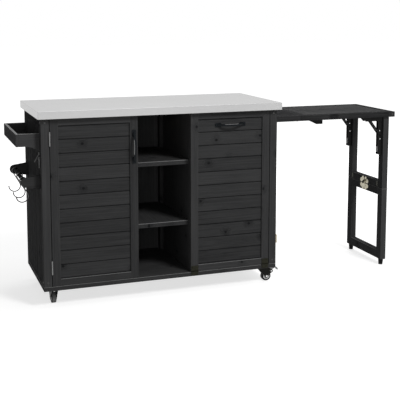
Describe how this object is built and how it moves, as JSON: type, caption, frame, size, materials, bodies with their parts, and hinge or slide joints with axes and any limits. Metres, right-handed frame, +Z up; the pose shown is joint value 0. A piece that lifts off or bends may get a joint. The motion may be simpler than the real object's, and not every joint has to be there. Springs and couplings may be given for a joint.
{
  "type": "grill cart",
  "caption": "Outdoor prep cart on casters: metal worktop, slatted doors, open shelves, side tray, towel rod and folding side table.",
  "frame": {"origin": "on the ground under the middle of the overall bounding box, table unfolded and doors closed", "axes": "+X along the front towards the side table, +Y from the doors to the back, +Z up"},
  "size_m": [1.999, 0.55, 0.922],
  "materials": {
    "stainless": "satin stainless sheet",
    "board_core": "raw board",
    "black_wood": "black stained timber, satin",
    "black_iron": "black, semi gloss",
    "zinc_steel": "bright zinc plate",
    "yellow_zinc": "dull yellow zinc plate",
    "chrome_wire": "polished wire",
    "fork_black": "black",
    "tyre_grey": "grey tread",
    "hub_grey": "light grey",
    "foot_rubber": "black",
    "beige_plastic": "beige",
    "catch_plastic": "black"
  },
  "bodies": {
    "cabinet": {"back_boards": "black_wood", "bottle_opener": "black_iron", "cabinet_hinge_leaves": "zinc_steel", "cabinet_rails": "black_wood", "caster_plates": "fork_black", "corner_posts": "black_wood", "countertop_core": "board_core", "countertop_skin": "stainless", "dividers": "black_wood", "door_catch": "catch_plastic", "floor_board": "black_wood", "frame_screws": "zinc_steel", "leaf_ledge": "black_wood", "ledge_hinge_leaves": "zinc_steel", "shelves": "black_wood", "side_boards": "black_wood", "side_bumper": "beige_plastic", "spice_tray": "black_wood", "towel_brackets": "black_wood", "towel_rod": "black_wood"},
    "left_door": {"left_door_frame": "black_wood", "left_door_slats": "black_wood", "left_door_handle": "black_iron", "left_door_hinge_leaves": "zinc_steel"},
    "bin_door": {"bin_door_frame": "black_wood", "bin_door_slats": "black_wood", "bin_door_handle": "black_iron", "bin_door_hinge_leaves": "yellow_zinc", "bin_rack": "black_wood"},
    "side_leaf": {"leaf_frame": "black_wood", "leaf_slats": "black_wood", "leaf_hinge_leaves": "zinc_steel", "leg_brackets": "black_iron"},
    "upper_legs": {"upper_leg_frame": "black_wood", "leg_channels": "black_iron", "knee_hinge_upper": "zinc_steel", "knee_latch_base": "zinc_steel"},
    "latch_wing": {"knee_latch_lever": "zinc_steel"},
    "lower_legs": {"lower_leg_frame": "black_wood", "leg_feet": "foot_rubber", "knee_hinge_lower": "zinc_steel", "knee_latch_keeper": "zinc_steel"},
    "struts": {"leg_struts": "black_iron"},
    "hook_front": {"s_hook_front": "chrome_wire"},
    "hook_middle": {"s_hook_middle": "chrome_wire"},
    "hook_rear": {"s_hook_rear": "chrome_wire"},
    "caster_front_left": {"fork_front_left": "fork_black"},
    "wheel_front_left": {"tyre_front_left": "tyre_grey", "hub_front_left": "hub_grey"},
    "brake_front_left": {"pedal_front_left": "fork_black"},
    "caster_front_right": {"fork_front_right": "fork_black"},
    "wheel_front_right": {"tyre_front_right": "tyre_grey", "hub_front_right": "hub_grey"},
    "brake_front_right": {"pedal_front_right": "fork_black"},
    "caster_rear_left": {"fork_rear_left": "fork_black"},
    "wheel_rear_left": {"tyre_rear_left": "tyre_grey", "hub_rear_left": "hub_grey"},
    "caster_rear_right": {"fork_rear_right": "fork_black"},
    "wheel_rear_right": {"tyre_rear_right": "tyre_grey", "hub_rear_right": "hub_grey"}
  },
  "joints": [
    {"name": "left_door_hinge", "type": "hinge", "parent": "cabinet", "child": "left_door", "pos_m": [-0.853, -0.2488, 0.4935], "axis": [0, 0, -1], "range_deg": [0, 150]},
    {"name": "bin_door_tilt", "type": "hinge", "parent": "cabinet", "child": "bin_door", "pos_m": [0.032, -0.2488, 0.1015], "axis": [1, 0, 0], "range_deg": [0, 35]},
    {"name": "leaf_fold", "type": "hinge", "parent": "cabinet", "child": "side_leaf", "pos_m": [0.445, 0.028, 0.8082], "axis": [0, 1, 0], "range_deg": [0, 90]},
    {"name": "leg_fold", "type": "hinge", "parent": "side_leaf", "child": "upper_legs", "pos_m": [0.9275, 0.0185, 0.796], "axis": [0, 1, 0], "range_deg": [0, 90]},
    {"name": "knee_fold", "type": "hinge", "parent": "upper_legs", "child": "lower_legs", "pos_m": [0.9758, 0.0185, 0.422], "axis": [0, -1, 0], "range_deg": [0, 180]},
    {"name": "strut_fold", "type": "hinge", "parent": "side_leaf", "child": "struts", "pos_m": [0.8575, 0.0185, 0.803], "axis": [0, 1, 0], "range_deg": [0, 124.8]},
    {"name": "latch_turn", "type": "hinge", "parent": "upper_legs", "child": "latch_wing", "pos_m": [0.938, 0.0185, 0.432], "axis": [1, 0, 0], "range_deg": [0, 90]},
    {"name": "hook_swing_front", "type": "hinge", "parent": "cabinet", "child": "hook_front", "pos_m": [-0.9595, -0.118, 0.59], "axis": [0, 1, 0], "range_deg": [-20, 20]},
    {"name": "hook_swing_middle", "type": "hinge", "parent": "cabinet", "child": "hook_middle", "pos_m": [-0.9595, -0.012, 0.59], "axis": [0, 1, 0], "range_deg": [-20, 20]},
    {"name": "hook_swing_rear", "type": "hinge", "parent": "cabinet", "child": "hook_rear", "pos_m": [-0.9595, 0.145, 0.59], "axis": [0, 1, 0], "range_deg": [-20, 20]},
    {"name": "swivel_front_left", "type": "hinge", "parent": "cabinet", "child": "caster_front_left", "pos_m": [-0.8375, -0.19, 0.069], "axis": [0, 0, 1], "continuous": true},
    {"name": "wheel_spin_front_left", "type": "hinge", "parent": "caster_front_left", "child": "wheel_front_left", "pos_m": [-0.8375, -0.166, 0.025], "axis": [-1, 0, 0], "continuous": true},
    {"name": "brake_press_front_left", "type": "hinge", "parent": "caster_front_left", "child": "brake_front_left", "pos_m": [-0.8375, -0.14, 0.05], "axis": [-1, 0, 0], "range_deg": [0, 18]},
    {"name": "swivel_front_right", "type": "hinge", "parent": "cabinet", "child": "caster_front_right", "pos_m": [0.2245, -0.19, 0.069], "axis": [0, 0, 1], "continuous": true},
    {"name": "wheel_spin_front_right", "type": "hinge", "parent": "caster_front_right", "child": "wheel_front_right", "pos_m": [0.2485, -0.19, 0.025], "axis": [0, 1, 0], "continuous": true},
    {"name": "brake_press_front_right", "type": "hinge", "parent": "caster_front_right", "child": "brake_front_right", "pos_m": [0.2745, -0.19, 0.05], "axis": [0, 1, 0], "range_deg": [0, 18]},
    {"name": "swivel_rear_left", "type": "hinge", "parent": "cabinet", "child": "caster_rear_left", "pos_m": [-0.8375, 0.194, 0.069], "axis": [0, 0, 1], "continuous": true},
    {"name": "wheel_spin_rear_left", "type": "hinge", "parent": "caster_rear_left", "child": "wheel_rear_left", "pos_m": [-0.8255, 0.17322, 0.025], "axis": [0.866, 0.5, 0], "continuous": true},
    {"name": "swivel_rear_right", "type": "hinge", "parent": "cabinet", "child": "caster_rear_right", "pos_m": [0.2245, 0.194, 0.069], "axis": [0, 0, 1], "continuous": true},
    {"name": "wheel_spin_rear_right", "type": "hinge", "parent": "caster_rear_right", "child": "wheel_rear_right", "pos_m": [0.20195, 0.18579, 0.025], "axis": [0.342, -0.9397, 0], "continuous": true}
  ],
  "couplings": [
    {"joint": "leg_fold", "follows": "leaf_fold", "ratio": 1},
    {"joint": "knee_fold", "follows": "leaf_fold", "ratio": 2},
    {"joint": "strut_fold", "follows": "leaf_fold", "ratio": 1.3849}
  ]
}
